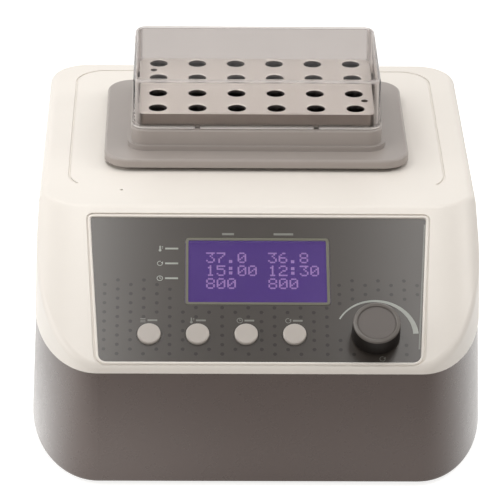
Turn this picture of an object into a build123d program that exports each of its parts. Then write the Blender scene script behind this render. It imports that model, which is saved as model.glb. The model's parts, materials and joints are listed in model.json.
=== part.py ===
from build123d import *
import math
import os

# Thermal mixer (bench shaker with a heated tube block). Millimetres, +Z up, front at -Y.
# The origin is on the bench, under the middle of the housing.

os.makedirs("parts", exist_ok=True)

# ---------------------------------------------------------------- housing
body_width = 269.4  # width and depth at the bench; the walls lean in going up
body_depth = 319.0
wall_draft_deg = 2.1
top_z = 133.0  # flat deck of the upper housing
seam_z = 72.0  # parting line between the two housings
foot_height = 2.0
wall = 3.0
front_corner_x = 42.0  # the front corners are long ellipses in plan
front_corner_y = 95.0
back_corner_r = 28.0
seam_step = 0.6  # the base stands back under the white shell
soft_edge_r = 5.0

# ---------------------------------------------------------------- console slope
crease_y = -62.0
slope_deg = 30.5
console_wall = 4.5
console_flat_x = 99.9  # from here the slope rolls over into the sides
roll_width = 31.5
roll_drop = 16.0
roll_splay = 8.0

# ---------------------------------------------------------------- control panel, down the slope
panel_start = 7.8
panel_end = 107.0
panel_half_top = 98.7
panel_half_end = 92.1
bead_width = 2.6
recess_depth = 0.9
panel_thickness = 1.0
panel_low_corner_r = 4.5
panel_high_corner_r = 1.5
panel_face = -recess_depth

display_x = -0.8
display_s = 45.1
display_size = (80.4, 42.9)
display_rim = 1.7
display_hole_r = 2.2

control_s = 88.6
button_xs = {
    "menu_button": -63.5,
    "temperature_button": -35.6,
    "time_button": -7.7,
    "speed_button": 20.2,
}
button_r = 6.75
button_hole_r = 7.1
knob_x = 66.8
knob_r = 14.0
knob_height = 13.0
board_face = -14.0  # top of the control board, measured from the slope

# ---------------------------------------------------------------- shaking drive
orbit_r = 1.5
drive_y = 48.0
pin_x = 0.0
axis_x = pin_x - orbit_r
idler_dx = 60.0
idler_dy = 31.0
deck_z = 58.0
deck_thickness = 3.0
shaft_r = 4.0
idler_shaft_r = 3.0
running_gap = 0.05
pin_gap = 0.3
plate_z = 96.0
plate_top = 104.0

# ---------------------------------------------------------------- tray, block and cover
tray_size = (184.5, 123.5)
tray_bottom = 135.4
tray_top = 140.7
tray_corner_r = 16.0
pedestal_size = (152.5, 93.0)
pedestal_top = 153.5
pedestal_wall = 3.0
cup_bottom = 118.0
opening_size = (160.5, 101.0)
opening_r = 7.0
block_size = (143.5, 84.0)
block_bottom = 129.3
block_top = 163.0
well_pitch = (24.0, 22.6)
well_counts = (6, 4)
well_r = 5.5
well_straight = 18.0
well_cone = 13.0
well_tip_r = 2.2
cover_size = (149.5, 89.0)
cover_bottom = 153.8
cover_top = 185.0
cover_wall = 1.6
seat_gap = 0.3

# ---------------------------------------------------------------- rear panel
rear_face = 154.2
rear_z = 34.0
inlet_x = -76.0
switch_x = -32.0
rocker_swing = 14.0

slope_sin = math.sin(math.radians(slope_deg))
slope_cos = math.cos(math.radians(slope_deg))
wall_draft = math.tan(math.radians(wall_draft_deg))
half_depth = body_depth / 2
floor_top = foot_height + wall

# x to the right, y up the slope, z out of the console; s is measured down the slope
console = Plane(origin=(0, crease_y, top_z), x_dir=(1, 0, 0), z_dir=(0, -slope_sin, slope_cos))
across_slope = Plane(origin=(0, crease_y, top_z), x_dir=(1, 0, 0), z_dir=(0, -slope_cos, -slope_sin))


def save(part, name):
    """Label a finished piece and write it."""
    part.label = name
    export_step(part, "parts/" + name + ".step")


def housing_outline(inset):
    """Plan outline of the housing: round back corners and long elliptical front corners."""
    half = body_width / 2 - inset
    back = half_depth - inset
    reach_x = front_corner_x - inset
    reach_y = front_corner_y - inset
    radius = back_corner_r - inset
    with BuildSketch() as outline:
        with BuildLine():
            Line((0, -back), (half - reach_x, -back))
            corner = (half - reach_x, reach_y - back)
            EllipticalCenterArc(corner, reach_x, reach_y, start_angle=270, arc_size=90)
            Line((half, reach_y - back), (half, back - radius))
            CenterArc((half - radius, back - radius), radius, 0, 90)
            Line((half - radius, back), (0, back))
            mirror(about=Plane.YZ)
        make_face()
    return outline.sketch


def console_section(inset, depth):
    """Section across the slope: flat in the middle, rolled over at both sides."""
    reach_x = roll_width - inset
    reach_z = roll_drop - inset
    side = console_flat_x + reach_x
    low = -body_width
    with BuildSketch() as section:
        with BuildLine():
            Line((0, -depth), (console_flat_x, -depth))
            roll_centre = (console_flat_x, -depth - reach_z)
            EllipticalCenterArc(roll_centre, reach_x, reach_z, start_angle=0, arc_size=90)
            Line((side, -depth - reach_z), (side + roll_splay, low))
            Line((side + roll_splay, low), (0, low))
            mirror(about=Plane.YZ)
        make_face()
    return section.sketch


def drafted(low, low_inset, high, high_inset):
    """The housing's outline joined between two heights, each inset from the leaning outer wall."""
    with BuildPart() as form:
        for height, inset in ((low, low_inset), (high, high_inset)):
            with BuildSketch(Plane.XY.offset(height)):
                add(housing_outline(height * wall_draft + inset))
        loft(ruled=True)
    return form.part


def panel_outline(grow):
    """The tapered control panel, with its own rounded corners."""
    top = panel_half_top + grow
    end = panel_half_end + grow
    with BuildSketch() as outline:
        Polygon(
            (-top, grow - panel_start),
            (top, grow - panel_start),
            (end, -grow - panel_end),
            (-end, -grow - panel_end),
            align=None,
        )
        fillet(outline.vertices().group_by(Axis.Y)[0], panel_low_corner_r + grow)
        fillet(outline.vertices().group_by(Axis.Y)[-1], panel_high_corner_r + grow)
    return outline.sketch


def rounded_box(size, radius, low, high, centre=(0.0, drive_y)):
    """A plate or box with rounded upright edges, as a solid to add or cut."""
    with BuildPart() as box:
        with BuildSketch(Plane.XY.offset(low)):
            with Locations(centre):
                RectangleRounded(size[0], size[1], radius)
        extrude(amount=high - low)
    return box.part


def posts(places, radius, low, high):
    """Upright cylinders on a list of places."""
    with BuildPart() as group:
        with BuildSketch(Plane.XY.offset(low)):
            with Locations(*places):
                Circle(radius)
        extrude(amount=high - low)
    return group.part


seam_inset = seam_z * wall_draft
rebate_plan = housing_outline(seam_inset + 1.9)
tongue_plan = housing_outline(seam_inset + 2.0)
tongue_inner = housing_outline(seam_inset + seam_step + wall)
slope_section = console_section(0, 0)
slope_inner_section = console_section(wall, console_wall)
boss_section = console_section(wall - 1, console_wall - 1)
panel_plan = panel_outline(0)
recess_plan = panel_outline(bead_width)

boss_places = [(-104, -112), (104, -112), (-112, 122), (112, 122)]
foot_places = [(-80, -124), (80, -124), (-90, 128), (90, 128)]
pillar_places = [(axis_x + sx * 68, drive_y + sy * 46) for sx in (-1, 1) for sy in (-1, 1)]
idler_names = {
    "idler_crank_front_left": (-1, -1),
    "idler_crank_front_right": (1, -1),
    "idler_crank_rear_left": (-1, 1),
    "idler_crank_rear_right": (1, 1),
}
idler_axes = [(axis_x + sx * idler_dx, drive_y + sy * idler_dy) for sx, sy in idler_names.values()]
idler_pins = [(pin_x + sx * idler_dx, drive_y + sy * idler_dy) for sx, sy in idler_names.values()]
spacer_places = [(pin_x + sx * 66, drive_y + sy * 38) for sx in (-1, 1) for sy in (-1, 1)]

# ================================================================ UPPER HOUSING
# A white moulded shell: the plan outline cut by the sloped console, which rolls into the sides.
groove_half_x = 113.5
groove_back = 142.0
groove_front = -37.0
groove_end = -31.0
groove_r = 19.0
groove_width = 1.3
groove_depth = 0.7
drain_place = (-81.0, -40.0)
drain_r = 0.9
boss_r = 4.5
boss_hole_r = 1.7
boss_hole_depth = 14.0
rebate_height = 2.6
display_hole = (display_size[0] + 2 * display_rim + 0.4, display_size[1] + 2 * display_rim + 0.4)
encoder_hole_r = 3.7

with BuildPart() as upper_housing:
    add(drafted(seam_z, 0, top_z, 0))
    with BuildSketch(across_slope):
        add(slope_section)
    extrude(amount=body_width, both=True, mode=Mode.INTERSECT)
    # one soft edge round the deck and down both rolled sides to the front lip
    above_seam = upper_housing.edges().filter_by_position(Axis.Z, seam_z + 1, top_z)
    straight = above_seam.filter_by(GeomType.LINE)
    slope_lines = straight - straight.filter_by(Axis.X) - straight.filter_by(Axis.Y)
    fillet(above_seam - slope_lines, soft_edge_r)
    # hollow inside
    with BuildPart(mode=Mode.PRIVATE) as cavity:
        add(drafted(seam_z, wall, top_z - wall, wall))
        with BuildSketch(across_slope):
            add(slope_inner_section)
        extrude(amount=body_width, both=True, mode=Mode.INTERSECT)
    add(cavity.part, mode=Mode.SUBTRACT)
    with BuildSketch(Plane.XY.offset(seam_z)):
        add(rebate_plan)
    extrude(amount=rebate_height, mode=Mode.SUBTRACT)
    # screw bosses hanging from the ceiling
    with BuildPart(mode=Mode.PRIVATE) as bosses:
        add(posts(boss_places, boss_r, seam_z, top_z - wall + 1))
        with BuildSketch(across_slope):
            add(boss_section)
        extrude(amount=body_width, both=True, mode=Mode.INTERSECT)
    add(bosses.part)
    add(posts(boss_places, boss_hole_r, seam_z, seam_z + boss_hole_depth), mode=Mode.SUBTRACT)
    # opening for the shaking tray, and the shallow groove round it, open to the front
    add(rounded_box(opening_size, opening_r, top_z - 2 * wall, top_z + wall), mode=Mode.SUBTRACT)
    with BuildSketch(Plane.XY.offset(top_z)):
        with Locations((0, (groove_back + groove_front) / 2)):
            RectangleRounded(2 * groove_half_x, groove_back - groove_front, groove_r)
            RectangleRounded(
                2 * (groove_half_x - groove_width),
                groove_back - groove_front - 2 * groove_width,
                groove_r - groove_width,
                mode=Mode.SUBTRACT,
            )
        with Locations((0, groove_end)):
            Rectangle(body_width, body_depth, align=(Align.CENTER, Align.MAX), mode=Mode.SUBTRACT)
    extrude(amount=-groove_depth, mode=Mode.SUBTRACT)
    with BuildSketch(Plane.XY.offset(top_z)):
        with Locations(drain_place):
            Circle(drain_r)
    extrude(amount=-2 * wall, mode=Mode.SUBTRACT)
    # stepped recess for the panel, with its windows and button holes
    with BuildSketch(console):
        add(recess_plan)
    extrude(amount=-recess_depth, mode=Mode.SUBTRACT)
    with BuildSketch(console.offset(-recess_depth)):
        add(panel_plan)
    extrude(amount=-panel_thickness, mode=Mode.SUBTRACT)
    with BuildSketch(console):
        with Locations((display_x, -display_s)):
            RectangleRounded(*display_hole, display_hole_r)
        with Locations(*[(x, -control_s) for x in button_xs.values()]):
            Circle(button_hole_r)
        with Locations((knob_x, -control_s)):
            Circle(encoder_hole_r)
    extrude(amount=-2 * console_wall, mode=Mode.SUBTRACT)
save(upper_housing.part, "upper_housing")

# ================================================================ LOWER HOUSING
# The grey base: a drafted tray with a locating tongue, bosses, floor vents and a rear panel.
tongue_height = 2.5
bottom_edge_r = 1.5
screw_clearance = 0.1
screw_counterbore_r = 4.0
counterbore_top = 8.0
foot_plug_r = 4.0
rear_pocket = (92.0, 44.0)
rear_pocket_r = 3.0
rear_pocket_x = -60.0
rear_pad_back = 156.4
rear_pad_front = 149.2
inlet_hole = (28.2, 20.6)
switch_hole = (27.6, 21.6)
inlet_screw_pitch = 40.0
inlet_screw_r = 1.6
inlet_screw_places = [(inlet_x - inlet_screw_pitch / 2, rear_z), (inlet_x + inlet_screw_pitch / 2, rear_z)]
rear_vent_count = 9
rear_vent_pitch = 8.0
rear_vent_x = 66.0
vent_slot = (24.0, 3.0)
floor_vent_count = 6
floor_vent_pitch = 11.0
floor_vent = (54.0, 3.0)

with BuildPart() as lower_housing:
    add(drafted(foot_height, 0, seam_z, seam_step))
    fillet(lower_housing.faces().sort_by(Axis.Z)[0].edges(), bottom_edge_r)
    add(drafted(floor_top, wall, seam_z, seam_step + wall), mode=Mode.SUBTRACT)
    # tongue that locates the upper housing
    with BuildSketch(Plane.XY.offset(seam_z)):
        add(tongue_plan)
        add(tongue_inner, mode=Mode.SUBTRACT)
    extrude(amount=tongue_height)
    # screw bosses, thickened rear wall and floor posts
    add(posts(boss_places, 2 * boss_hole_r + 2, foot_height, seam_z))
    with BuildSketch(Plane.XZ.offset(-rear_pad_back)):
        with Locations((rear_pocket_x, rear_z)):
            Rectangle(rear_pocket[0] + 2 * wall, rear_pocket[1] + 2 * wall)
    extrude(amount=rear_pad_back - rear_pad_front)
    with BuildSketch(Plane.XZ.offset(-rear_face)):
        with Locations((rear_pocket_x, rear_z)):
            RectangleRounded(*rear_pocket, rear_pocket_r)
    extrude(amount=rear_face - half_depth, mode=Mode.SUBTRACT)
    with BuildSketch(Plane.XZ.offset(-half_depth)):
        with Locations((inlet_x, rear_z)):
            Rectangle(*inlet_hole)
        with Locations(*inlet_screw_places):
            Circle(inlet_screw_r)
        with Locations((switch_x, rear_z)):
            Rectangle(*switch_hole)
        with Locations((rear_vent_x, rear_z)):
            with GridLocations(rear_vent_pitch, 1, rear_vent_count, 1):
                SlotOverall(*vent_slot, rotation=90)
    extrude(amount=half_depth - rear_pad_front + wall, mode=Mode.SUBTRACT)
    with BuildSketch(Plane.XY.offset(foot_height)):
        with Locations((0, drive_y)):
            with GridLocations(1, floor_vent_pitch, 1, floor_vent_count):
                SlotOverall(*floor_vent)
        with Locations(*foot_places):
            Circle(foot_plug_r)
    extrude(amount=2 * wall, mode=Mode.SUBTRACT)
    add(posts(boss_places, screw_counterbore_r, foot_height, counterbore_top), mode=Mode.SUBTRACT)
    add(posts(boss_places, boss_hole_r + screw_clearance, foot_height, seam_z), mode=Mode.SUBTRACT)
save(lower_housing.part, "lower_housing")

# Four rubber feet, each a tapered pad with a plug through the floor.
foot_r = 9.0
foot_bottom_r = 8.0

with BuildPart() as rubber_feet:
    with BuildSketch(Plane.XZ) as foot_profile:
        Polygon(
            (0, 0),
            (foot_bottom_r, 0),
            (foot_r, foot_height),
            (foot_plug_r, foot_height),
            (foot_plug_r, floor_top + 1),
            (0, floor_top + 1),
            align=None,
        )
    with BuildPart(mode=Mode.PRIVATE) as foot:
        add(foot_profile.sketch)
        revolve(axis=Axis.Z)
    with Locations(*foot_places):
        add(foot.part)
save(rubber_feet.part, "rubber_feet")


def screws(places, shank_r, shank_low, shank_high, head_r, head_low, head_high):
    """Cap screws standing on a list of places; the hexagon socket is in the head's free end."""
    head_down = head_low < shank_low
    with BuildPart() as group:
        add(posts(places, shank_r, shank_low, shank_high))
        add(posts(places, head_r, head_low, head_high))
        with BuildSketch(Plane.XY.offset(head_low if head_down else head_high)):
            with Locations(*places):
                RegularPolygon(head_r / 2, 6)
        extrude(amount=socket_key_depth if head_down else -socket_key_depth, mode=Mode.SUBTRACT)
    return group.part


socket_key_depth = 1.6
screw_head_r = 3.5
screw_head_height = 3.0
housing_screw_r = 1.6
housing_screw_top = seam_z + 12.0
housing_screws = screws(
    boss_places,
    housing_screw_r,
    counterbore_top - 1,
    housing_screw_top,
    screw_head_r,
    counterbore_top - screw_head_height,
    counterbore_top,
)
save(housing_screws, "housing_screws")

# ================================================================ CONTROL PANEL
# A thin overlay sheet in the recess, with holes for the display, the buttons and the knob.
with BuildPart() as control_panel:
    with BuildSketch(console.offset(panel_face - panel_thickness)):
        add(panel_plan)
        with Locations((display_x, -display_s)):
            RectangleRounded(*display_hole, display_hole_r, mode=Mode.SUBTRACT)
        with Locations(*[(x, -control_s) for x in button_xs.values()]):
            Circle(button_hole_r, mode=Mode.SUBTRACT)
        with Locations((knob_x, -control_s)):
            Circle(encoder_hole_r, mode=Mode.SUBTRACT)
    extrude(amount=panel_thickness)
save(control_panel.part, "control_panel")

# The display: a thin bezel ring, a clear lens inside it and the module behind.
lens_gap = 0.1
bezel_proud = 0.1
lens_sunk = 0.1
bezel_r = 2.0
window_r = 0.8
lens_r = 0.7
lens_thickness = 1.3
module_size = (96.0, 58.0)
module_face = -5.0
glass_face = -2.6

with BuildPart() as display_frame:
    with BuildSketch(console.offset(panel_face + bezel_proud)):
        with Locations((display_x, -display_s)):
            RectangleRounded(display_size[0] + 2 * display_rim, display_size[1] + 2 * display_rim, bezel_r)
            RectangleRounded(*display_size, window_r, mode=Mode.SUBTRACT)
    extrude(amount=-panel_thickness)
save(display_frame.part, "display_frame")

with BuildPart() as display_lens:
    with BuildSketch(console.offset(panel_face - lens_sunk)):
        with Locations((display_x, -display_s)):
            RectangleRounded(display_size[0] - 2 * lens_gap, display_size[1] - 2 * lens_gap, lens_r)
    extrude(amount=-lens_thickness)
save(display_lens.part, "display_lens")

with BuildPart() as lcd_module:
    with BuildSketch(console.offset(board_face)):
        with Locations((display_x, -display_s)):
            Rectangle(*module_size)
    extrude(amount=module_face - board_face)
    with BuildSketch(console.offset(module_face)):
        with Locations((display_x, -display_s)):
            Rectangle(display_size[0] - 2 * lens_gap, display_size[1] - 2 * lens_gap)
    extrude(amount=glass_face - module_face)
save(lcd_module.part, "lcd_module")

# The control board, its spacers, the button switches and the encoder.
board_thickness = 1.6
board_half_x = 88.0
board_start = 12.0
board_end = 99.0
spacer_r = 3.5
spacer_bore_r = 1.5
board_hole_r = 1.6
switch_side = 6.0
switch_body = 3.8
plunger_r = 1.7
plunger_top = -9.6
board_holes = [(sx * (board_half_x - 5), -s) for sx in (-1, 1) for s in (board_start + 5, board_end - 5)]

with BuildPart() as control_board:
    with BuildSketch(console.offset(board_face)):
        with Locations((0, -(board_start + board_end) / 2)):
            RectangleRounded(2 * board_half_x, board_end - board_start, 2)
        with Locations(*board_holes):
            Circle(board_hole_r, mode=Mode.SUBTRACT)
    extrude(amount=-board_thickness)
save(control_board.part, "control_board")

with BuildPart() as board_spacers:
    with BuildSketch(console.offset(board_face)):
        with Locations(*board_holes):
            Circle(spacer_r)
            Circle(spacer_bore_r, mode=Mode.SUBTRACT)
    extrude(amount=-console_wall - board_face)
save(board_spacers.part, "board_spacers")

with BuildPart() as button_switches:
    with BuildSketch(console.offset(board_face)):
        with Locations(*[(x, -control_s) for x in button_xs.values()]):
            Rectangle(switch_side, switch_side)
    extrude(amount=switch_body)
    with BuildSketch(console.offset(board_face + switch_body)):
        with Locations(*[(x, -control_s) for x in button_xs.values()]):
            Circle(plunger_r)
    extrude(amount=plunger_top - board_face - switch_body)
save(button_switches.part, "button_switches")

encoder_side = 13.0
encoder_top = -7.5
encoder_bush_r = 3.4
encoder_bush_top = -0.4
encoder_shaft_r = 2.5
encoder_well_r = 3.0
encoder_disc_r = 2.7
encoder_well_low = -12.2
encoder_disc_low = -11.2
encoder_disc_high = -9.8
shaft_bottom = -9.5
shaft_top = 10.0

with BuildPart() as encoder_body:
    with BuildSketch(console.offset(board_face)):
        with Locations((knob_x, -control_s)):
            Rectangle(encoder_side, encoder_side)
    extrude(amount=encoder_top - board_face)
    with BuildSketch(console.offset(encoder_top)):
        with Locations((knob_x, -control_s)):
            Circle(encoder_bush_r)
    extrude(amount=encoder_bush_top - encoder_top)
    with BuildSketch(console.offset(encoder_bush_top)):
        with Locations((knob_x, -control_s)):
            Circle(encoder_shaft_r + running_gap)
    extrude(amount=shaft_bottom - 1 - encoder_bush_top, mode=Mode.SUBTRACT)
    with BuildSketch(console.offset(encoder_well_low)):
        with Locations((knob_x, -control_s)):
            Circle(encoder_well_r)
    extrude(amount=shaft_bottom + 1 - encoder_well_low, mode=Mode.SUBTRACT)
save(encoder_body.part, "encoder_body")

with BuildPart() as encoder_plunger:
    with BuildSketch(console.offset(encoder_disc_low)):
        with Locations((knob_x, -control_s)):
            Circle(encoder_disc_r)
    extrude(amount=encoder_disc_high - encoder_disc_low)
save(encoder_plunger.part, "encoder_plunger")

with BuildPart() as encoder_shaft:
    with BuildSketch(console.offset(shaft_bottom)):
        with Locations((knob_x, -control_s)):
            Circle(encoder_shaft_r)
    extrude(amount=shaft_top - shaft_bottom)
save(encoder_shaft.part, "encoder_shaft")

# The knob: a tapered skirt with a finger recess, and a disc set into its face.
knob_bottom = 0.7
knob_face_r = 13.6
knob_recess_r = 11.0
knob_recess = 1.0
knob_edge_r = 0.8
knob_disc_r = 10.9
knob_disc_thickness = 0.6
knob_hollow_r = 10.5
knob_hollow = 5.0

with BuildPart() as knob:
    with BuildSketch(console.offset(knob_bottom)):
        with Locations((knob_x, -control_s)):
            Circle(knob_r)
    with BuildSketch(console.offset(knob_height)):
        with Locations((knob_x, -control_s)):
            Circle(knob_face_r)
    loft()
    fillet(knob.faces().sort_by(Axis(console.origin, console.z_dir))[-1].edges(), knob_edge_r)
    with BuildSketch(console.offset(knob_height)):
        with Locations((knob_x, -control_s)):
            Circle(knob_recess_r)
    extrude(amount=-knob_recess, mode=Mode.SUBTRACT)
    with BuildSketch(console.offset(knob_bottom)):
        with Locations((knob_x, -control_s)):
            Circle(knob_hollow_r)
            Circle(encoder_shaft_r + 2, mode=Mode.SUBTRACT)
    extrude(amount=knob_hollow, mode=Mode.SUBTRACT)
    with BuildSketch(console.offset(knob_bottom)):
        with Locations((knob_x, -control_s)):
            Circle(encoder_shaft_r)
    extrude(amount=shaft_top - knob_bottom, mode=Mode.SUBTRACT)
save(knob.part, "knob")

with BuildPart() as knob_disc:
    with BuildSketch(console.offset(knob_height - knob_recess)):
        with Locations((knob_x, -control_s)):
            Circle(knob_disc_r)
    extrude(amount=knob_disc_thickness)
save(knob_disc.part, "knob_disc")

# Four push buttons: domed cap, retaining flange and stem.
cap_top = 0.9
cap_edge_r = 0.8
flange_r = 8.2
flange_top = -4.9
flange_low = -5.9
stem_r = 2.5
stem_low = -8.2

for button_name, button_x in button_xs.items():
    with BuildPart() as button:
        with BuildSketch(console.offset(flange_low)):
            with Locations((button_x, -control_s)):
                Circle(flange_r)
        extrude(amount=flange_top - flange_low)
        with BuildSketch(console.offset(flange_top)):
            with Locations((button_x, -control_s)):
                Circle(button_r)
        extrude(amount=cap_top - flange_top)
        fillet(button.faces().sort_by(Axis(console.origin, console.z_dir))[-1].edges(), cap_edge_r)
        with BuildSketch(console.offset(flange_low)):
            with Locations((button_x, -control_s)):
                Circle(stem_r)
        extrude(amount=stem_low - flange_low)
    save(button.part, button_name)

# ================================================================ REAR PANEL PARTS
# Mains inlet with its three pins, the switch frame and the rocker.
flange_thickness = 2.4
inlet_flange = (50.0, 24.0)
inlet_flange_r = 3.0
hole_gap = 0.4
socket_corner = 4.5
inlet_depth = 22.0
socket_size = (24.4, 16.4)
socket_depth = 15.5
pin_size = (2.0, 4.0)
pin_length = 10.4
inlet_pins = [(inlet_x - 7, rear_z - 2), (inlet_x, rear_z + 2), (inlet_x + 7, rear_z - 2)]

with BuildPart() as power_inlet:
    with BuildSketch(Plane.XZ.offset(-rear_face)):
        with Locations((inlet_x, rear_z)):
            RectangleRounded(*inlet_flange, inlet_flange_r)
        with Locations(*inlet_screw_places):
            Circle(inlet_screw_r, mode=Mode.SUBTRACT)
    extrude(amount=-flange_thickness)
    with BuildSketch(Plane.XZ.offset(-rear_face)):
        with Locations((inlet_x, rear_z)):
            Rectangle(inlet_hole[0] - hole_gap, inlet_hole[1] - hole_gap)
    extrude(amount=inlet_depth)
    with BuildSketch(Plane.XZ.offset(-rear_face - flange_thickness)) as socket:
        with Locations((inlet_x, rear_z)):
            Rectangle(*socket_size)
        chamfer(socket.vertices().group_by(Axis.Y)[-1], socket_corner)
    extrude(amount=socket_depth, mode=Mode.SUBTRACT)
    with BuildSketch(Plane.XZ.offset(socket_depth - rear_face - flange_thickness)):
        with Locations(*inlet_pins):
            Rectangle(*pin_size)
    extrude(amount=-pin_length)
save(power_inlet.part, "power_inlet")

inlet_shank_r = 1.5
inlet_shank = 12.0
inlet_head_r = 2.3
inlet_head = 0.4

with BuildPart() as inlet_screws:
    with BuildSketch(Plane.XZ.offset(-rear_face - flange_thickness)):
        with Locations(*inlet_screw_places):
            Circle(inlet_shank_r)
    extrude(amount=inlet_shank)
    with BuildSketch(Plane.XZ.offset(-rear_face - flange_thickness)):
        with Locations(*inlet_screw_places):
            Circle(inlet_head_r)
    extrude(amount=-inlet_head)
save(inlet_screws.part, "inlet_screws")

switch_flange = (31.0, 25.0)
switch_flange_r = 2.0
switch_flange_thickness = 1.8
switch_depth = 18.0
rocker_window = (24.0, 17.6)
rocker_well = 9.0
rocker_size = (21.6, 16.8)
rocker_pivot_y = 150.4
rocker_pivot_r = 1.5
rocker_pin_low = rear_z - 9.8
rocker_pin_high = rear_z + 9.8
rocker_pivot = [(switch_x, rocker_pivot_y)]
rocker_half = rocker_size[0] / 2
rocker_back = -0.4
rocker_end = 4.9
rocker_middle = 3.5

with BuildPart() as switch_frame:
    with BuildSketch(Plane.XZ.offset(-rear_face)):
        with Locations((switch_x, rear_z)):
            RectangleRounded(*switch_flange, switch_flange_r)
    extrude(amount=-switch_flange_thickness)
    with BuildSketch(Plane.XZ.offset(-rear_face)):
        with Locations((switch_x, rear_z)):
            Rectangle(switch_hole[0] - hole_gap, switch_hole[1] - hole_gap)
    extrude(amount=switch_depth)
    with BuildSketch(Plane.XZ.offset(-half_depth)):
        with Locations((switch_x, rear_z)):
            Rectangle(*rocker_window)
    extrude(amount=half_depth - rear_face + rocker_well, mode=Mode.SUBTRACT)
    pivot_bore = posts(rocker_pivot, rocker_pivot_r + running_gap, rocker_pin_low, rocker_pin_high)
    add(pivot_bore, mode=Mode.SUBTRACT)
save(switch_frame.part, "switch_frame")

with BuildPart() as power_rocker:
    with BuildSketch(Plane.XY.offset(rear_z - rocker_size[1] / 2)):
        with Locations(Location((switch_x, rocker_pivot_y), rocker_swing / 2)):
            Polygon(
                (-rocker_half, rocker_back),
                (rocker_half, rocker_back),
                (rocker_half, rocker_end),
                (0, rocker_middle),
                (-rocker_half, rocker_end),
                align=None,
            )
    extrude(amount=rocker_size[1])
    add(posts(rocker_pivot, rocker_pivot_r, rocker_pin_low, rocker_pin_high))
save(power_rocker.part, "power_rocker")

# Open-frame power supply on four pillars at the front of the base.
supply_board_z = 10.0
supply_size = (124.0, 84.0)
supply_centre = (0.0, -72.0)
supply_pillar_r = 3.5
supply_pillar_inset = 6.0
board_top = supply_board_z + board_thickness
# what stands on the board: (size, height, centre)
supply_blocks = {
    "transformer": ((38.0, 34.0), 26.0, (-30.0, -76.0)),
    "heat_sink": ((60.0, 10.0), 28.0, (22.0, -104.0)),
    "relay": ((18.0, 24.0), 17.0, (40.0, -46.0)),
}
supply_block_r = 1.5
capacitor_places = [(8.0, -62.0), (8.0, -84.0)]
capacitor_r = 9.0
capacitor_height = 30.0

with BuildPart() as power_supply:
    with BuildSketch(Plane.XY.offset(supply_board_z)):
        with Locations(supply_centre):
            RectangleRounded(*supply_size, 2)
    extrude(amount=board_thickness)
    for size, height, centre in supply_blocks.values():
        add(rounded_box(size, supply_block_r, board_top, board_top + height, centre))
    add(posts(capacitor_places, capacitor_r, board_top, board_top + capacitor_height))
save(power_supply.part, "power_supply")

pillar_dx = supply_size[0] / 2 - supply_pillar_inset
pillar_dy = supply_size[1] / 2 - supply_pillar_inset
supply_corners = [
    (supply_centre[0] + sx * pillar_dx, supply_centre[1] + sy * pillar_dy)
    for sx in (-1, 1)
    for sy in (-1, 1)
]
supply_pillars = posts(supply_corners, supply_pillar_r, floor_top, supply_board_z)
save(supply_pillars, "supply_pillars")

# ================================================================ DRIVE, FIXED PARTS
pillar_r = 6.0
deck_size = (152.0, 108.0)
deck_corner_r = 8.0
deck_slot = (56.0, 12.0)
deck_slot_pitch = 76.0
deck_screw_r = 2.0
bearing_r = 11.0
bearing_hub_r = 16.0
bearing_flange_r = 26.0
bearing_top = 72.0
bearing_inset = 0.5
bearing_flange = 3.0
flange_hole_r = 2.0
flange_hole_circle = 21.0
hub_chamfer = 1.5
deck_top = deck_z + deck_thickness
idler_hub_r = 7.0
idler_flange_r = 11.0

save(posts(pillar_places, pillar_r, floor_top, deck_z), "deck_pillars")

with BuildPart() as drive_deck:
    add(rounded_box(deck_size, deck_corner_r, deck_z, deck_top, (axis_x, drive_y)))
    add(posts([(axis_x, drive_y)], bearing_r, deck_z, deck_top), mode=Mode.SUBTRACT)
    add(posts(pillar_places, deck_screw_r + screw_clearance, deck_z, deck_top), mode=Mode.SUBTRACT)
    with BuildSketch(Plane.XY.offset(deck_z)):
        with Locations((axis_x, drive_y)):
            with GridLocations(deck_slot_pitch, 1, 2, 1):
                SlotOverall(*deck_slot, rotation=90)
    extrude(amount=deck_thickness, mode=Mode.SUBTRACT)
save(drive_deck.part, "drive_deck")

deck_screws = screws(
    pillar_places, deck_screw_r, deck_z, deck_top, screw_head_r, deck_top, deck_top + screw_head_height
)
save(deck_screws, "deck_screws")

with BuildPart() as bearing_housing:
    add(posts([(axis_x, drive_y)], bearing_flange_r, deck_top, deck_top + bearing_flange))
    add(posts([(axis_x, drive_y)], bearing_hub_r, deck_top, bearing_top))
    add(posts([(axis_x, drive_y)], bearing_r, deck_top, bearing_top), mode=Mode.SUBTRACT)
    with BuildSketch(Plane.XY.offset(deck_top)):
        with Locations((axis_x, drive_y)):
            with PolarLocations(flange_hole_circle, 4, 45):
                Circle(flange_hole_r)
    extrude(amount=bearing_flange, mode=Mode.SUBTRACT)
    hub_edge = bearing_housing.faces().sort_by(Axis.Z)[-1].outer_wire().edges()
    chamfer(hub_edge, hub_chamfer)
save(bearing_housing.part, "bearing_housing")


groove_half = 1.2
groove_sink = 0.8


def bearing(centre, outer_r, inner_r, low, high):
    """A ball bearing as its two rings and a groove between them on both faces."""
    middle = (outer_r + inner_r) / 2
    with BuildPart() as ring:
        add(posts([centre], outer_r, low, high))
        add(posts([centre], inner_r, low, high), mode=Mode.SUBTRACT)
        for face_z, depth in ((high, -groove_sink), (low, groove_sink)):
            with BuildSketch(Plane.XY.offset(face_z)):
                with Locations(centre):
                    Circle(middle + groove_half)
                    Circle(middle - groove_half, mode=Mode.SUBTRACT)
            extrude(amount=depth, mode=Mode.SUBTRACT)
    return ring.part


shaft_bore_r = shaft_r + running_gap
shaft_bearing_low = deck_top + bearing_inset
shaft_bearing_high = bearing_top - bearing_inset
shaft_bearing = bearing((axis_x, drive_y), bearing_r, shaft_bore_r, shaft_bearing_low, shaft_bearing_high)
save(shaft_bearing, "shaft_bearing")

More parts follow.
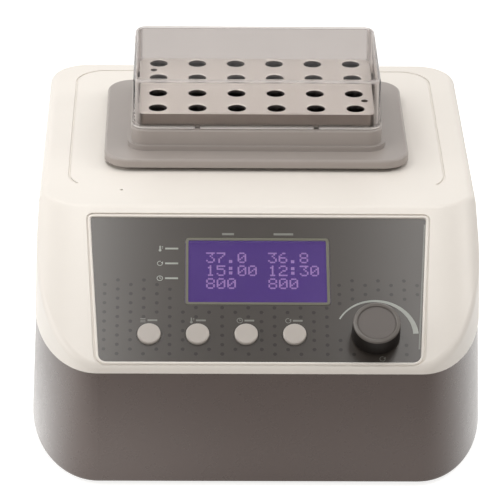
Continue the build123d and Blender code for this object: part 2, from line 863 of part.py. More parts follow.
with BuildPart() as idler_bearings:
    add(posts(idler_axes, idler_flange_r, deck_top, deck_top + bearing_flange))
    add(posts(idler_axes, idler_hub_r, deck_top, bearing_top))
    add(posts(idler_axes, idler_shaft_r + running_gap, deck_top, bearing_top), mode=Mode.SUBTRACT)
save(idler_bearings.part, "idler_bearings")

# The motor hangs under the deck: a can with the rotor turning inside.
can_r = 30.0
can_low = 24.0
can_wall = 3.0
can_head = 4.0
can_edge_r = 3.0
rotor_gap_r = 23.0
rotor_r = 22.0
rotor_low = 30.0
rotor_high = 50.0
shaft_low = 27.5

with BuildPart() as motor_stator:
    add(posts([(axis_x, drive_y)], can_r, can_low, deck_z))
    fillet(motor_stator.faces().sort_by(Axis.Z)[0].edges(), can_edge_r)
    add(posts([(axis_x, drive_y)], rotor_gap_r, can_low + can_wall, deck_z - can_head), mode=Mode.SUBTRACT)
    add(posts([(axis_x, drive_y)], shaft_r + 1, deck_z - can_head, deck_z), mode=Mode.SUBTRACT)
save(motor_stator.part, "motor_stator")

# ================================================================ DRIVE, TURNING PARTS
weight_low = 75.0
weight_high = 83.0
weight_r = 40.0
hub_r = 11.0
crank_disc_high = 87.0
pin_top = 101.0

with BuildPart() as drive_shaft:
    add(posts([(axis_x, drive_y)], shaft_r, shaft_low, weight_high))
save(drive_shaft.part, "drive_shaft")

with BuildPart() as motor_rotor:
    add(posts([(axis_x, drive_y)], rotor_r, rotor_low, rotor_high))
    add(posts([(axis_x, drive_y)], shaft_r, rotor_low, rotor_high), mode=Mode.SUBTRACT)
save(motor_rotor.part, "motor_rotor")

# The counterweight is a half disc on the far side from the crank pin.
with BuildPart() as counterweight:
    with BuildSketch(Plane.XY.offset(weight_low)):
        with Locations((axis_x, drive_y)):
            Circle(weight_r)
            Rectangle(weight_r, 2 * weight_r, align=(Align.MIN, Align.CENTER), mode=Mode.SUBTRACT)
            Circle(hub_r)
            Circle(shaft_r, mode=Mode.SUBTRACT)
    extrude(amount=weight_high - weight_low)
save(counterweight.part, "counterweight")

with BuildPart() as crank_pin:
    add(posts([(axis_x, drive_y)], hub_r, weight_high, crank_disc_high))
    add(posts([(pin_x, drive_y)], shaft_r, crank_disc_high, pin_top))
save(crank_pin.part, "crank_pin")

idler_disc_low = 73.5
idler_disc_high = 78.0
idler_disc_r = 7.5
idler_pin_top = 102.0

for idler_name, idler_axis, idler_pin in zip(idler_names, idler_axes, idler_pins):
    with BuildPart() as idler:
        add(posts([idler_axis], idler_shaft_r, deck_top + 1, idler_disc_low))
        add(posts([idler_axis], idler_disc_r, idler_disc_low, idler_disc_high))
        add(posts([idler_pin], idler_shaft_r, idler_disc_high, idler_pin_top))
    save(idler.part, idler_name)

# ================================================================ SHAKING PLATFORM
plate_size = (150.0, 90.0)
plate_corner_r = 8.0
plate_window = (26.0, 66.0)
plate_window_r = 5.0
plate_window_x = 38.0
boss_low = 92.0
crank_bearing_low = 93.0
crank_bearing_high = 100.0
boss_outer_r = 17.0
bush_r = 7.0
bush_top = 103.0
spacer_post_r = 4.5
platform_screw_r = 2.0
platform_screw_top = plate_top + 8.0

with BuildPart() as platform_plate:
    add(rounded_box(plate_size, plate_corner_r, plate_z, plate_top))
    add(posts([(pin_x, drive_y)], boss_outer_r, boss_low, plate_z))
    with BuildSketch(Plane.XY.offset(plate_z)):
        with Locations((pin_x - plate_window_x, drive_y), (pin_x + plate_window_x, drive_y)):
            RectangleRounded(*plate_window, plate_window_r)
    extrude(amount=plate_top - plate_z, mode=Mode.SUBTRACT)
    add(posts([(pin_x, drive_y)], bearing_r, boss_low, bush_top - 1), mode=Mode.SUBTRACT)
    add(posts(idler_pins, bush_r, plate_z, bush_top), mode=Mode.SUBTRACT)
    add(posts(spacer_places, platform_screw_r, plate_z, plate_top), mode=Mode.SUBTRACT)
save(platform_plate.part, "platform_plate")

crank_bearing = bearing((pin_x, drive_y), bearing_r, shaft_bore_r, crank_bearing_low, crank_bearing_high)
save(crank_bearing, "crank_bearing")

with BuildPart() as platform_bushes:
    add(posts(idler_pins, bush_r, plate_z, bush_top))
    add(posts(idler_pins, idler_shaft_r + pin_gap, plate_z, bush_top), mode=Mode.SUBTRACT)
save(platform_bushes.part, "platform_bushes")

with BuildPart() as platform_spacers:
    add(posts(spacer_places, spacer_post_r, plate_top, cup_bottom))
    add(posts(spacer_places, platform_screw_r, plate_top, platform_screw_top), mode=Mode.SUBTRACT)
save(platform_spacers.part, "platform_spacers")

platform_screws = screws(
    spacer_places,
    platform_screw_r,
    plate_z,
    platform_screw_top,
    screw_head_r,
    plate_z - screw_head_height,
    plate_z,
)
save(platform_screws, "platform_screws")

# The shaking tray: a flange over the opening, a pedestal and the cup that holds the block.
pocket_size = (pedestal_size[0] - 2 * pedestal_wall, pedestal_size[1] - 2 * pedestal_wall)
pedestal_r = 9.0
pedestal_foot = 2.2
pedestal_foot_height = 3.0
pedestal_rim_r = 1.2
tray_edge_r = 1.6

with BuildPart() as shaking_tray:
    add(rounded_box(tray_size, tray_corner_r, tray_bottom, tray_top))
    fillet(shaking_tray.faces().sort_by(Axis.Z)[-1].edges(), tray_edge_r)
    add(rounded_box(pedestal_size, pedestal_r, cup_bottom, pedestal_top))
    pedestal_rim = shaking_tray.faces().sort_by(Axis.Z)[-1].edges()
    fillet(pedestal_rim, pedestal_rim_r)
    foot_size = (pedestal_size[0] + 2 * pedestal_foot, pedestal_size[1] + 2 * pedestal_foot)
    add(rounded_box(foot_size, pedestal_r + pedestal_foot, tray_top - 1, tray_top + pedestal_foot_height))
    add(
        rounded_box(pocket_size, pedestal_r - pedestal_wall, cup_bottom + pedestal_wall, pedestal_top),
        mode=Mode.SUBTRACT,
    )
save(shaking_tray.part, "shaking_tray")

# Heater stack inside the cup.
cup_floor = cup_bottom + pedestal_wall
pad_top = 123.5
mat_top = 124.5
plate_r = 5.0
heater_size = (144.5, 85.0)
mat_size = (138.0, 79.0)
sensor_x = 50.0
sensor_r = 1.6
sensor_z = 126.8

save(rounded_box(heater_size, plate_r, cup_floor, pad_top), "insulation_pad")
save(rounded_box(mat_size, plate_r, pad_top, mat_top), "heater_mat")

with BuildPart() as heating_plate:
    add(rounded_box(heater_size, plate_r, mat_top, block_bottom - seat_gap))
    with BuildSketch(Plane.XZ.offset(-drive_y)):
        with Locations((sensor_x, sensor_z)):
            Circle(sensor_r)
    extrude(amount=heater_size[1], mode=Mode.SUBTRACT)
save(heating_plate.part, "heating_plate")

with BuildPart() as temperature_sensor:
    with BuildSketch(Plane.XZ.offset(-drive_y)):
        with Locations((sensor_x, sensor_z)):
            Circle(sensor_r)
    extrude(amount=heater_size[1] / 2 - 1)
save(temperature_sensor.part, "temperature_sensor")

# The tube block: 24 wells, each straight at the mouth and tapered to a rounded tip.
lift_hole_r = 2.1
lift_hole_depth = 12.0
lift_holes = [(-63.0, drive_y + well_pitch[1]), (66.0, drive_y - well_pitch[1])]
block_corner_r = 4.0
block_chamfer = 0.8
rim_chamfer = 0.5

with BuildPart() as tube_block:
    add(rounded_box(block_size, block_corner_r, block_bottom, block_top))
    chamfer(tube_block.faces().sort_by(Axis.Z)[-1].edges(), block_chamfer)
    with Locations((0, drive_y, block_top)):
        with GridLocations(*well_pitch, *well_counts):
            Hole(well_r, well_straight)
    with Locations((0, drive_y, block_top - well_straight - well_cone)):
        with GridLocations(*well_pitch, *well_counts):
            Cone(
                well_tip_r,
                well_r,
                well_cone,
                align=(Align.CENTER, Align.CENTER, Align.MIN),
                mode=Mode.SUBTRACT,
            )
    rims = tube_block.faces().filter_by(Plane.XY).sort_by(Axis.Z)[-1].inner_wires()
    chamfer([edge for rim in rims for edge in rim.edges()], rim_chamfer)
    with BuildSketch(Plane.XY.offset(block_top)):
        with Locations(*lift_holes):
            Circle(lift_hole_r)
    extrude(amount=-lift_hole_depth, mode=Mode.SUBTRACT)
save(tube_block.part, "tube_block")

# The clear cover that stands on the pedestal over the block.
cover_corner_r = 7.0
cover_top_r = 3.0
rim_proud = 0.8
rim_size = (cover_size[0] + 2 * rim_proud, cover_size[1] + 2 * rim_proud)
rim_height = 2.4
latch_x = 36.0
latch_size = (3.2, 2.2)

with BuildPart() as tube_cover:
    add(rounded_box(cover_size, cover_corner_r, cover_bottom, cover_top))
    fillet(tube_cover.faces().sort_by(Axis.Z)[-1].edges(), cover_top_r)
    add(rounded_box(rim_size, cover_corner_r + rim_proud, cover_bottom, cover_bottom + rim_height))
    with BuildPart(mode=Mode.PRIVATE) as cover_inside:
        inner = (cover_size[0] - 2 * cover_wall, cover_size[1] - 2 * cover_wall)
        add(rounded_box(inner, cover_corner_r - cover_wall, cover_bottom, cover_top - cover_wall))
        fillet(cover_inside.faces().sort_by(Axis.Z)[-1].edges(), cover_top_r - cover_wall)
    add(cover_inside.part, mode=Mode.SUBTRACT)
    with BuildSketch(Plane.XZ.offset(-drive_y)):
        with Locations((-latch_x, cover_bottom), (latch_x, cover_bottom)):
            Rectangle(latch_size[0], 2 * latch_size[1])
    extrude(amount=cover_size[1], mode=Mode.SUBTRACT)
save(tube_cover.part, "tube_cover")
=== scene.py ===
import json
import math

import bmesh
import bpy
from mathutils import Matrix, Vector


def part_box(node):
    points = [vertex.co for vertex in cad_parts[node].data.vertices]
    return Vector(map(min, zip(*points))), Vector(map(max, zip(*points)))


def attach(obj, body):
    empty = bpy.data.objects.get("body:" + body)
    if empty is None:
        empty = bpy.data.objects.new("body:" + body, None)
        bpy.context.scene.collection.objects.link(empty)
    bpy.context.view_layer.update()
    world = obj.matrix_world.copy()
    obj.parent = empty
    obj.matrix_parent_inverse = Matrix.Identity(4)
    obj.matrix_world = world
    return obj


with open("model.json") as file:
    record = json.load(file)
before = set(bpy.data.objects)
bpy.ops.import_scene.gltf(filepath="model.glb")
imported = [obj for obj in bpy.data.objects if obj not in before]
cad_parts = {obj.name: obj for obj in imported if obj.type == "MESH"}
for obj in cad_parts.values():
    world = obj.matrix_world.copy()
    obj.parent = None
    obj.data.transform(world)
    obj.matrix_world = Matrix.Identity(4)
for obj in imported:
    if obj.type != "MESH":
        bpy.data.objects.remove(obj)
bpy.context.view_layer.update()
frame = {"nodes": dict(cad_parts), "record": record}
nodes = frame["nodes"]
scene = bpy.context.scene
MM = 0.001

# ---------------------------------------------------------------- camera
# fitted to points all over the photographed object; lengths in metres, the focal length in pixels
focal_px, image_w, sensor_w = 3160.1, 500, 36
elevation, yaw, roll = (math.radians(a) for a in (26.148, 1.229, 0.780))
look_at = Vector((0, 0.048, 0.163))
shift_right, shift_down, distance = 0.00219, -0.09924, 1.9483


def make_camera():
    """Stands the camera where the photograph was taken from."""
    turn = Matrix.Rotation(-yaw, 3, "Z")
    right = turn @ Vector((1, 0, 0))
    down = turn @ Vector((0, -math.sin(elevation), -math.cos(elevation)))
    ahead = turn @ Vector((0, math.cos(elevation), -math.sin(elevation)))
    place = look_at - shift_right * right - shift_down * down - distance * ahead
    axis_x = math.cos(roll) * right - math.sin(roll) * down
    axis_y = -(math.sin(roll) * right + math.cos(roll) * down)
    data = bpy.data.cameras.new("camera")
    data.sensor_width = sensor_w
    data.lens = focal_px / image_w * sensor_w
    data.clip_start, data.clip_end = 0.05, 50
    camera = bpy.data.objects.new("camera", data)
    scene.collection.objects.link(camera)
    rows = [[axis_x[i], axis_y[i], -ahead[i], place[i]] for i in range(3)]
    camera.matrix_world = Matrix(rows + [[0, 0, 0, 1]])
    scene.camera = camera


make_camera()

# ---------------------------------------------------------------- console frame, as in part.py
# x runs across the console, s down its slope from the crease and n out of it, all in millimetres
crease_y, top_z = -62.0, 133.0
slope = math.radians(30.5)
slope_normal = Vector((0, -math.sin(slope), math.cos(slope)))
panel_face = -0.9
panel_start, panel_end = 7.8, 107.0
panel_half_top, panel_half_end = 98.7, 92.1
display_x = -0.8
control_s, knob_x = 88.6, 66.8
button_xs = (-63.5, -35.6, -7.7, 20.2)


def console(x, s, n=panel_face):
    """A point x across, s down the slope and n above it, in metres."""
    y = crease_y - s * math.cos(slope) - n * math.sin(slope)
    z = top_z - s * math.sin(slope) + n * math.cos(slope)
    return Vector((x, y, z)) * MM


# ---------------------------------------------------------------- material helpers
def new_node(tree, kind, values=(), **settings):
    """A node with its settings and the values of its inputs."""
    node = tree.nodes.new(kind)
    for key, value in settings.items():
        setattr(node, key, value)
    for key, value in dict(values).items():
        node.inputs[key].default_value = value
    return node


def arithmetic(tree, operation, first, second=None):
    """One step of arithmetic; each side is a socket or a number."""
    node = new_node(tree, "ShaderNodeMath", operation=operation)
    for target, value in zip(node.inputs, (first, second)):
        if isinstance(value, (int, float)):
            target.default_value = value
        elif value is not None:
            tree.links.new(value, target)
    return node.outputs[0]


def ramped(tree, value, low, high, out_low=0.0, out_high=1.0):
    """A value mapped smoothly from low..high to out_low..out_high."""
    ends = {"From Min": low, "From Max": high, "To Min": out_low, "To Max": out_high}
    node = new_node(tree, "ShaderNodeMapRange", ends, interpolation_type="SMOOTHSTEP")
    tree.links.new(value, node.inputs["Value"])
    return node.outputs[0]


def split(tree, vector):
    """The X, Y and Z outputs of a vector socket."""
    node = new_node(tree, "ShaderNodeSeparateXYZ")
    tree.links.new(vector, node.inputs[0])
    return node.outputs


class Nodes:
    """A material's node tree with short ways to add, join, set and mix."""

    def __init__(self, name):
        self.material = bpy.data.materials.new(name)
        self.material.use_nodes = True
        self.tree = self.material.node_tree
        self.shader = self.tree.nodes["Principled BSDF"]
        self.out = self.tree.nodes["Material Output"]

    def add(self, kind, values=(), **settings):
        return new_node(self.tree, kind, values, **settings)

    def join(self, source, target):
        self.tree.links.new(source, target)

    def set(self, **values):
        for key, value in values.items():
            self.shader.inputs[key.replace("_", " ")].default_value = value

    def noise(self, coords, scale, detail, roughness, stretch=None):
        """Noise on object coordinates, drawn out along an axis where stretch says."""
        if stretch:
            mapping = self.add("ShaderNodeMapping", {"Scale": stretch})
            self.join(coords, mapping.inputs["Vector"])
            coords = mapping.outputs["Vector"]
        look = {"Scale": scale, "Detail": detail, "Roughness": roughness}
        texture = self.add("ShaderNodeTexNoise", look)
        self.join(coords, texture.inputs["Vector"])
        return texture.outputs["Fac"]

    def blend_colour(self, mask, other):
        """Mixes another colour into the material's own where the mask is 1."""
        mix = self.add("ShaderNodeMix", data_type="RGBA")
        own = self.shader.inputs["Base Color"].links[0].from_socket
        self.join(mask, mix.inputs["Factor"])
        self.join(own, mix.inputs["A"])
        mix.inputs["B"].default_value = (*other, 1)
        self.join(mix.outputs["Result"], self.shader.inputs["Base Color"])


def shade(colour, factor):
    """A colour made lighter or darker, with its alpha."""
    return tuple(min(c * factor, 1.0) for c in colour) + (1.0,)


def surface(
    name,
    colour,
    rough,
    metallic=0.0,
    mottle=0.04,
    mottle_scale=22.0,
    grain=1400.0,
    grain_height=0.000003,
    rough_swing=0.05,
    stretch=None,
    edge=0.0004,
    **sockets,
):
    """A moulded, painted or machined finish: soft colour variation, uneven gloss and fine grain."""
    n = Nodes(name)
    n.set(Metallic=metallic, **sockets)
    coords = n.add("ShaderNodeTexCoord").outputs["Object"]
    ramp = n.add("ShaderNodeValToRGB")
    for element, position, factor in zip(ramp.color_ramp.elements, (0.3, 0.7), (1 - mottle, 1 + mottle)):
        element.position, element.color = position, shade(colour, factor)
    n.join(n.noise(coords, mottle_scale, 5.0, 0.6, stretch), ramp.inputs["Fac"])
    n.join(ramp.outputs["Color"], n.shader.inputs["Base Color"])
    gloss = n.add("ShaderNodeMapRange", {"To Min": rough - rough_swing, "To Max": rough + rough_swing})
    n.join(n.noise(coords, mottle_scale * 5, 4.0, 0.65, stretch), gloss.inputs["Value"])
    n.join(gloss.outputs["Result"], n.shader.inputs["Roughness"])
    bump = n.add("ShaderNodeBump", {"Strength": 1.0, "Distance": grain_height})
    n.join(n.noise(coords, grain, 2.0, 0.5, stretch), bump.inputs["Height"])
    if edge:
        bevel = n.add("ShaderNodeBevel", {"Radius": edge}, samples=4)
        n.join(bevel.outputs["Normal"], bump.inputs["Normal"])
    n.join(bump.outputs["Normal"], n.shader.inputs["Normal"])
    return n


# ---------------------------------------------------------------- materials, one for each slot
made = {}


def slot_material(slot_name, *args, **settings):
    """Makes the material of a slot; what follows its name is passed on to surface."""
    made[slot_name] = surface(slot_name, *args, **settings)


# the panel's overlay and all that is printed on it share a satin coat
satin = dict(Coat_Roughness=0.27, Coat_IOR=1.7)
film_grain = dict(mottle=0.03, grain=3200.0, grain_height=0.000002)

# moulded plastics
slot_material("white_shell", (0.835, 0.788, 0.732), 0.42, mottle=0.012, grain=2600.0, edge=0.0006)
slot_material(
    "grey_base",
    (0.043, 0.026, 0.0215),
    0.28,
    mottle=0.05,
    grain=2200.0,
    grain_height=0.000005,
    Specular_IOR_Level=0.75,
    Specular_Tint=(1.0, 0.92, 0.88, 1),
)
slot_material(
    "panel_film",
    (0.048, 0.040, 0.0345),
    0.3,
    Specular_IOR_Level=0.3,
    Specular_Tint=(1.0, 0.95, 0.91, 1),
    Coat_Weight=0.76,
    **film_grain,
    **satin,
)
slot_material("display_bezel", (0.145, 0.14, 0.105), 0.4, mottle=0.03)
slot_material("button_grey", (0.48, 0.44, 0.405), 0.36, mottle=0.03, edge=0.0005)
slot_material(
    "knob_grey",
    (0.0085, 0.0065, 0.0055),
    0.45,
    mottle=0.06,
    edge=0.0005,
    Specular_IOR_Level=0.12,
)
slot_material("knob_face", (0.138, 0.121, 0.112), 0.45, mottle=0.05)
slot_material("tray_grey", (0.355, 0.317, 0.295), 0.36, mottle=0.02, grain=1800.0, edge=0.0006)
slot_material("black_plastic", (0.02, 0.02, 0.021), 0.45, mottle=0.1, grain=1700.0)
slot_material("rubber", (0.022, 0.022, 0.022), 0.75, mottle=0.15, grain=1500.0, grain_height=0.00002)
slot_material("silicone", (0.55, 0.20, 0.10), 0.6, mottle=0.08, grain=900.0)
slot_material("foam", (0.70, 0.68, 0.62), 0.9, mottle=0.15, grain=600.0, grain_height=0.00008)

# metals; the grain of turned and rolled ones is drawn out along an axis
slot_material(
    "block_metal",
    (0.92, 0.895, 0.865),
    0.5,
    1.0,
    mottle=0.03,
    grain=3000.0,
    grain_height=0.000005,
)
slot_material("steel", (0.55, 0.55, 0.56), 0.32, 1.0, mottle=0.06, stretch=(1, 1, 14), mottle_scale=40.0)
slot_material("bearing_steel", (0.68, 0.68, 0.7), 0.18, 1.0, mottle=0.03)
slot_material(
    "aluminium_plate",
    (0.62, 0.63, 0.65),
    0.36,
    1.0,
    mottle=0.05,
    stretch=(1, 16, 1),
    mottle_scale=30.0,
)
slot_material("cast_iron", (0.20, 0.20, 0.21), 0.6, 0.7, mottle=0.15, grain=700.0, grain_height=0.00004)
slot_material("bronze", (0.55, 0.38, 0.18), 0.34, 1.0, mottle=0.06, stretch=(1, 1, 10))
slot_material("black_metal", (0.04, 0.04, 0.045), 0.4, mottle=0.1)

# electronics and the display
slot_material("board_green", (0.03, 0.16, 0.07), 0.35, mottle=0.2, mottle_scale=160.0)
slot_material(
    "lcd",
    (0.028, 0.011, 0.085),
    0.3,
    mottle=0.05,
    Emission_Color=(0.078, 0.029, 0.215, 1),
    Emission_Strength=0.62,
)
slot_material(
    "display_lens",
    (0.95, 0.94, 0.98),
    0.06,
    mottle=0.01,
    rough_swing=0.01,
    edge=0,
    Transmission_Weight=1.0,
    IOR=1.3,
    Specular_IOR_Level=0.3,
)

# the lift-off cover
slot_material(
    "clear_cover",
    (0.748, 0.715, 0.70),
    0.045,
    mottle=0.01,
    rough_swing=0.015,
    grain=60.0,
    grain_height=0.00002,
    edge=0.0005,
    Transmission_Weight=1.0,
    IOR=1.1,
    Specular_IOR_Level=0.15,
)


def paint_cover_highlights(n):
    """Painted highlights on the clear cover: its rounded edges and its bottom rim get a tone of their own
    and less clearness, so they look paler where light would catch them.
    """
    cover_bottom, rim_height, rim_blur = 153.8 * MM, 1.1 * MM, 0.2 * MM
    fully_flat, fully_round = 0.97, 0.75
    edge_highlight_tone, edge_clearness = (0.70, 0.66, 0.64), 0.6
    rim_tone, rim_clearness = (0.90, 0.87, 0.85), 0.4
    coords = n.add("ShaderNodeTexCoord")
    facing = n.add("ShaderNodeVectorMath", operation="ABSOLUTE")
    n.join(coords.outputs["Normal"], facing.inputs[0])
    x, y, z = split(n.tree, facing.outputs[0])
    squareness = arithmetic(n.tree, "MAXIMUM", x, arithmetic(n.tree, "MAXIMUM", y, z))
    rounded = ramped(n.tree, squareness, fully_flat, fully_round)
    rim_z = cover_bottom + rim_height
    rim = ramped(n.tree, split(n.tree, coords.outputs["Object"])["Z"], rim_z + rim_blur, rim_z - rim_blur)
    # painted highlights along the rounded edges and along the bottom rim
    n.blend_colour(rounded, edge_highlight_tone)
    n.blend_colour(rim, rim_tone)
    cover_edge_highlight = arithmetic(n.tree, "MULTIPLY", rounded, 1 - edge_clearness)
    cover_rim_highlight = arithmetic(n.tree, "MULTIPLY", rim, 1 - rim_clearness)
    cover_highlight = arithmetic(n.tree, "MAXIMUM", cover_edge_highlight, cover_rim_highlight)
    n.join(arithmetic(n.tree, "SUBTRACT", 1.0, cover_highlight), n.shader.inputs["Transmission Weight"])


def paint_block_shade(n):
    """Painted shade on the block: its wells are darkened inside its outline, and its sides are painted
    darker than its top.
    """
    outline_margin, shade_start, shade_end = 1.0 * MM, 0.2 * MM, 3.5 * MM
    top_facing, side_facing = 0.6, 0.3
    side_shade_tone, well_shade_tone = (0.30, 0.275, 0.255), (0.04, 0.034, 0.03)
    low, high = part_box("tube_block")
    coords = n.add("ShaderNodeTexCoord")
    position = split(n.tree, coords.outputs["Object"])
    inside = 1.0
    for axis in (0, 1):
        middle, half = (low[axis] + high[axis]) / 2, (high[axis] - low[axis]) / 2
        offset = arithmetic(n.tree, "ABSOLUTE", arithmetic(n.tree, "SUBTRACT", position[axis], middle))
        within = arithmetic(n.tree, "LESS_THAN", offset, half - outline_margin)
        inside = arithmetic(n.tree, "MULTIPLY", inside, within)
    upward = split(n.tree, coords.outputs["Normal"])["Z"]
    # painted shade on the sides, set by which way they face
    n.blend_colour(ramped(n.tree, upward, top_facing, side_facing), side_shade_tone)
    # painted shade deep in the wells
    depth = ramped(n.tree, position["Z"], high[2] - shade_start, high[2] - shade_end)
    n.blend_colour(arithmetic(n.tree, "MULTIPLY", inside, depth), well_shade_tone)


def light_rim(n):
    """The knob's rim, from this height over the console, is paler than its skirt."""
    rim_height, rim_tone = 12.1, (0.13, 0.115, 0.105)
    fade_below, fade_above = 0.3 * MM, 0.1 * MM
    coords = n.add("ShaderNodeTexCoord").outputs["Object"]
    along = n.add("ShaderNodeVectorMath", operation="DOT_PRODUCT")
    n.join(coords, along.inputs[0])
    along.inputs[1].default_value = slope_normal
    level = console(0, 0, rim_height).dot(slope_normal)
    mask = ramped(n.tree, along.outputs["Value"], level - fade_below, level + fade_above)
    n.blend_colour(mask, rim_tone)


paint_cover_highlights(made["clear_cover"])
paint_block_shade(made["block_metal"])
light_rim(made["knob_grey"])

for entry in frame["record"]["subparts"]:
    target = nodes[entry["node"]].data
    target.materials.clear()
    target.materials.append(made[entry["material_slot"]].material)

# printing inks
ink = dict(mottle=0.06, mottle_scale=300.0, edge=0, Coat_Weight=0.75, **satin)
dim_ink_and_highlight = surface("dim_ink_and_highlight", (0.17, 0.17, 0.15), 0.5, **ink).material
print_pale = surface("print_pale", (0.33, 0.345, 0.31), 0.5, **ink).material
print_dark = surface(
    "print_dark",
    (0.029, 0.024, 0.0205),
    0.3,
    edge=0,
    Specular_IOR_Level=0.2,
    Coat_Weight=0.64,
    **film_grain,
    **satin,
).material
lcd_text = surface(
    "lcd_text",
    (0.24, 0.15, 0.34),
    0.4,
    mottle=0.05,
    edge=0,
    Emission_Color=(0.36, 0.22, 0.46, 1),
    Emission_Strength=0.5,
).material
bezel_plastic = surface("knob_bezel", (0.15, 0.135, 0.122), 0.3, mottle=0.05, edge=0).material


# ---------------------------------------------------------------- mesh helpers
def piece(name, bm, material, body, smooth=False):
    """A new object on a body from a finished bmesh, with its material and slot."""
    mesh = bpy.data.meshes.new(name)
    bm.to_mesh(mesh)
    bm.free()
    mesh.materials.append(material)
    if smooth:
        for polygon in mesh.polygons:
            polygon.use_smooth = True
    obj = bpy.data.objects.new(name, mesh)
    scene.collection.objects.link(obj)
    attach(obj, body)


def plates(name, outlines, low, high, material):
    """Thin printed shapes on the housing's slope: each outline is a list of (x, s) in millimetres."""
    bm = bmesh.new()
    for outline in outlines:
        area = sum(a[0] * b[1] - b[0] * a[1] for a, b in zip(outline, outline[1:] + outline[:1]))
        points = outline if area < 0 else outline[::-1]
        under = [bm.verts.new(console(x, s, low)) for x, s in points]
        over = [bm.verts.new(console(x, s, high)) for x, s in points]
        bm.faces.new(over)
        bm.faces.new(under[::-1])
        for i in range(len(points)):
            j = (i + 1) % len(points)
            bm.faces.new((under[i], under[j], over[j], over[i]))
    bm.normal_update()
    piece(name, bm, material, "housing")


def closed_band(loops):
    """A bmesh through rings of points, each joined to the next and the last to the first."""
    bm = bmesh.new()
    rings = [[bm.verts.new(point) for point in loop] for loop in loops]
    for inner, outer in zip(rings, rings[1:] + rings[:1]):
        for i in range(len(inner)):
            j = (i + 1) % len(inner)
            bm.faces.new((inner[i], outer[i], outer[j], inner[j]))
    bmesh.ops.recalc_face_normals(bm, faces=bm.faces)
    return bm


def disc(x, s, radius, count=10):
    turns = [2 * math.pi * k / count for k in range(count)]
    return [(x + radius * math.cos(t), s + radius * math.sin(t)) for t in turns]


def bar(x, s, length, height):
    """An upright rectangle about a centre."""
    corners = ((-0.5, -0.5), (0.5, -0.5), (0.5, 0.5), (-0.5, 0.5))
    return [(x + a * length, s + b * height) for a, b in corners]


def ring(x, s, radius, width, start=0.0, end=360.0, count=24):
    """A ring or arc as a fan of small quads; angles run anticlockwise from +x."""
    inner, outer = radius - width / 2, radius + width / 2
    cells = []
    for k in range(count):
        a, b = (math.radians(start + (end - start) * i / count) for i in (k, k + 1))
        corners = ((inner, a), (outer, a), (outer, b), (inner, b))
        cells.append([(x + r * math.cos(t), s - r * math.sin(t)) for r, t in corners])
    return cells


# ---------------------------------------------------------------- printed marks, in place of words
ink_height, dot_height = 0.04, 0.03
line_width = 0.4


def thermometer(x, s):
    bulb, stem = disc(x, s + 1.2, 0.85), bar(x, s - 0.6, 0.75, 2.6)
    return [bulb, stem] + [bar(x + 1.3, s + tick, 0.8, 0.35) for tick in (-1.3, -0.4)]


def turning(x, s):
    head = [(x + 1.75, s - 1.3), (x + 1.75, s + 0.5), (x + 0.5, s - 0.5)]
    return ring(x, s, 1.5, line_width, 70, 350, 18) + [head]


def clock(x, s):
    hands = [bar(x, s - 0.5, 0.35, 1.2), bar(x + 0.4, s, 1.0, 0.35)]
    return ring(x, s, 1.6, line_width) + hands


def menu(x, s):
    return [bar(x, s + line, 3.0, 0.42) for line in (-1.1, 0, 1.1)]


def print_on_panel(name, outlines, material, height=ink_height):
    """A layer of ink on the overlay."""
    plates(name, outlines, panel_face, panel_face + height, material)


# an icon and a bar beside each row of the display
row_label_x, row_bar_offset, row_bar_length, label_bar_height = -57.6, 3.0, 7.6, 1.15
marks = []
for icon, s in ((thermometer, 29.6), (turning, 39.9), (clock, 50.2)):
    bar_x = row_label_x + row_bar_offset + row_bar_length / 2
    marks += icon(row_label_x, s) + [bar(bar_x, s, row_bar_length, label_bar_height)]
print_on_panel("row_marks", marks, print_pale)

# an icon and a bar over each button, two bars over the display and an icon under the knob
button_label_s, button_icon_offset, button_bar_offset, button_bar_length = 79.0, -3.6, 1.9, 5.6
heading_s, heading_height = 19.3, 1.5
knob_mark_x, knob_mark_s = knob_x + 3.4, 104.5
marks = []
for icon, x in zip((menu, thermometer, clock, turning), button_xs):
    marks += icon(x + button_icon_offset, button_label_s)
    marks.append(bar(x + button_bar_offset, button_label_s, button_bar_length, label_bar_height))
for x, length in ((-17.9, 7.0), (14.6, 11.5)):
    marks.append(bar(x, heading_s, length, heading_height))
marks += turning(knob_mark_x, knob_mark_s)
print_on_panel("panel_marks", marks, dim_ink_and_highlight)


def knob_scale():
    """The tapered arc over the knob, thin at its left end and square at its right."""
    radius, steps = 23.2, 40
    start_angle, sweep = 152, 149
    half_thin, half_gain, taper = 0.45, 1.15, 1.6
    cells = []
    for k in range(steps):
        cell = []
        for i, side in ((k, -1), (k, 1), (k + 1, 1), (k + 1, -1)):
            part_way = i / steps
            t = math.radians(start_angle - part_way * sweep)
            r = radius + side * (half_thin + half_gain * part_way**taper)
            cell.append((knob_x + r * math.cos(t), control_s - r * math.sin(t)))
        cells.append(cell)
    return cells


print_on_panel("knob_arc", knob_scale(), print_pale)


def taken(x, s):
    """Whether the display, a button, a label or the knob stands or is printed too near to a place."""
    display_half, display_bottom = 45.5, 69
    button_clear, label_half_x, label_half_s = 8.0, 7.5, 2.4
    row_label_middle, row_label_half, row_label_bottom = row_label_x + 4, 9, 53.5
    arc_clear, knob_clear, arc_bottom = 25.8, 17.5, control_s + 2
    on_display = abs(x - display_x) < display_half and s < display_bottom
    on_button = any(
        math.hypot(x - button_x, s - control_s) < button_clear
        or (abs(x - button_x) < label_half_x and abs(s - button_label_s) < label_half_s)
        for button_x in button_xs
    )
    on_row_label = abs(x - row_label_middle) < row_label_half and s < row_label_bottom
    round_knob = arc_clear if s < arc_bottom else knob_clear
    on_knob = math.hypot(x - knob_x, s - control_s) < round_knob
    return on_display or on_button or on_row_label or on_knob


